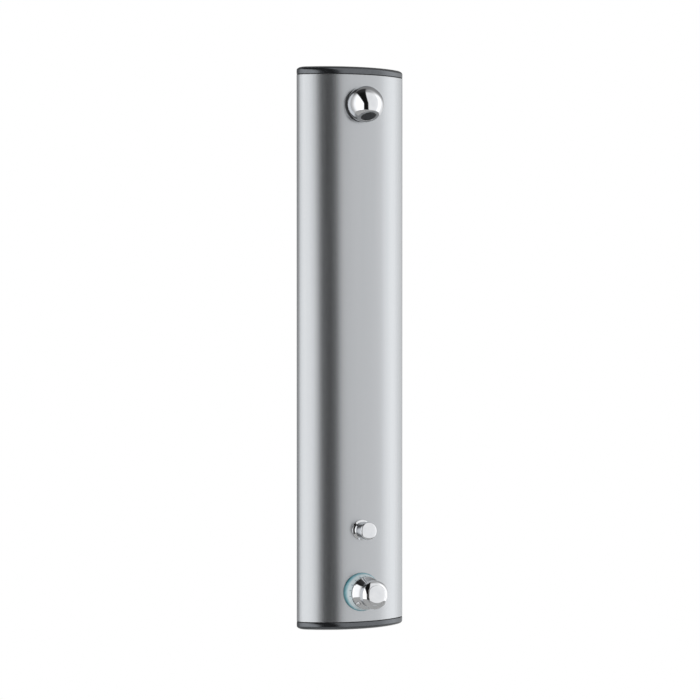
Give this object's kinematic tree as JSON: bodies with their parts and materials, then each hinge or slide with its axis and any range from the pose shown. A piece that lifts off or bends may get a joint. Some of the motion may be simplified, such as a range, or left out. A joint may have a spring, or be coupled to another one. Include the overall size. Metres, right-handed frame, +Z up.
{
  "type": "wall shower panel",
  "caption": "Tall wall-mounted shower panel: curved aluminium cover, fixed domed head, timed push button and thermostatic mixing knob.",
  "frame": {"origin": "centre of the wall frame's rear face, at half the panel's height", "axes": "+Z up the panel, +Y into the wall, +X to the right as someone facing the panel sees it"},
  "size_m": [0.2066, 0.1163, 1],
  "materials": {
    "anodised_aluminium": "satin anodised",
    "chrome_plate": "polished",
    "grey_cap_plastic": "fine grain",
    "dark_rubber": "matt",
    "cast_brass": "as cast and machined",
    "copper_tube": "drawn copper",
    "stainless_steel": "rolled",
    "spring_steel": "drawn wire",
    "blue_dial_plastic": "gloss",
    "dark_spray_plastic": "satin",
    "white_acetal": "satin"
  },
  "bodies": {
    "panel": {"front_cover": "anodised_aluminium", "top_end_cap": "grey_cap_plastic", "bottom_end_cap": "grey_cap_plastic", "top_cap_seal": "dark_rubber", "bottom_cap_seal": "dark_rubber", "top_cap_screw_1": "stainless_steel", "top_cap_screw_2": "stainless_steel", "bottom_cap_screw_1": "stainless_steel", "bottom_cap_screw_2": "stainless_steel", "wall_frame": "stainless_steel", "inlet_bracket": "stainless_steel", "feed_pipe": "copper_tube", "riser_pipe": "copper_tube", "feed_lower_nut": "cast_brass", "feed_upper_nut": "cast_brass", "riser_lower_nut": "cast_brass", "riser_upper_nut": "cast_brass", "lower_pipe_clip": "white_acetal", "upper_pipe_clip": "white_acetal", "shower_dome": "chrome_plate", "head_seal": "dark_rubber", "head_backplate": "cast_brass", "spray_insert": "dark_spray_plastic", "flow_regulator": "white_acetal", "head_elbow": "cast_brass", "head_lock_nut": "cast_brass", "button_collar": "chrome_plate", "button_return_spring": "spring_steel", "timed_valve_body": "cast_brass", "valve_lock_nut": "cast_brass", "temperature_dial": "blue_dial_plastic", "mixer_body": "cast_brass", "mixer_gland": "cast_brass", "mixer_lock_nut": "cast_brass", "thermostat_spring": "spring_steel", "cold_inlet_elbow": "cast_brass", "cold_union_nut": "cast_brass", "cold_check_valve": "white_acetal", "hot_inlet_elbow": "cast_brass", "hot_union_nut": "cast_brass", "hot_check_valve": "white_acetal"},
    "button": {"push_button": "chrome_plate", "button_stem": "stainless_steel"},
    "knob": {"knob_skirt": "chrome_plate", "knob_handle": "chrome_plate", "knob_face": "chrome_plate", "knob_screw": "stainless_steel", "mixer_spindle": "cast_brass"},
    "release": {"stop_release": "chrome_plate"},
    "carrier": {"thermostat_carrier": "white_acetal"},
    "cold_stop": {"cold_stop_spindle": "stainless_steel"},
    "hot_stop": {"hot_stop_spindle": "stainless_steel"}
  },
  "joints": [
    {"name": "button_press", "type": "slide", "parent": "panel", "child": "button", "axis": [0, 1, 0], "range_m": [0, 0.006], "stiffness_N_per_m": 1200, "springref_m": -0.003, "deforming": ["button_return_spring"]},
    {"name": "knob_turn", "type": "hinge", "parent": "panel", "child": "knob", "pos_m": [0, -0.09, -0.4325], "axis": [0, 1, 0], "range_deg": [-125, 125]},
    {"name": "release_press", "type": "slide", "parent": "knob", "child": "release", "axis": [0.5945, 0.6, 0.5353], "range_m": [0, 0.0012], "stiffness_N_per_m": 800, "springref_m": -0.002},
    {"name": "carrier_travel", "type": "slide", "parent": "panel", "child": "carrier", "axis": [0, 1, 0], "range_m": [-0.0021, 0.0021], "deforming": ["thermostat_spring"]},
    {"name": "cold_stop_turn", "type": "hinge", "parent": "panel", "child": "cold_stop", "pos_m": [0.058, -0.0205, -0.4325], "axis": [0, 0, 1], "range_deg": [0, 90]},
    {"name": "hot_stop_turn", "type": "hinge", "parent": "panel", "child": "hot_stop", "pos_m": [-0.058, -0.0205, -0.4325], "axis": [0, 0, 1], "range_deg": [0, 90]}
  ],
  "couplings": [
    {"joint": "carrier_travel", "follows": "knob_turn", "m_per_rad": 0.00095}
  ]
}
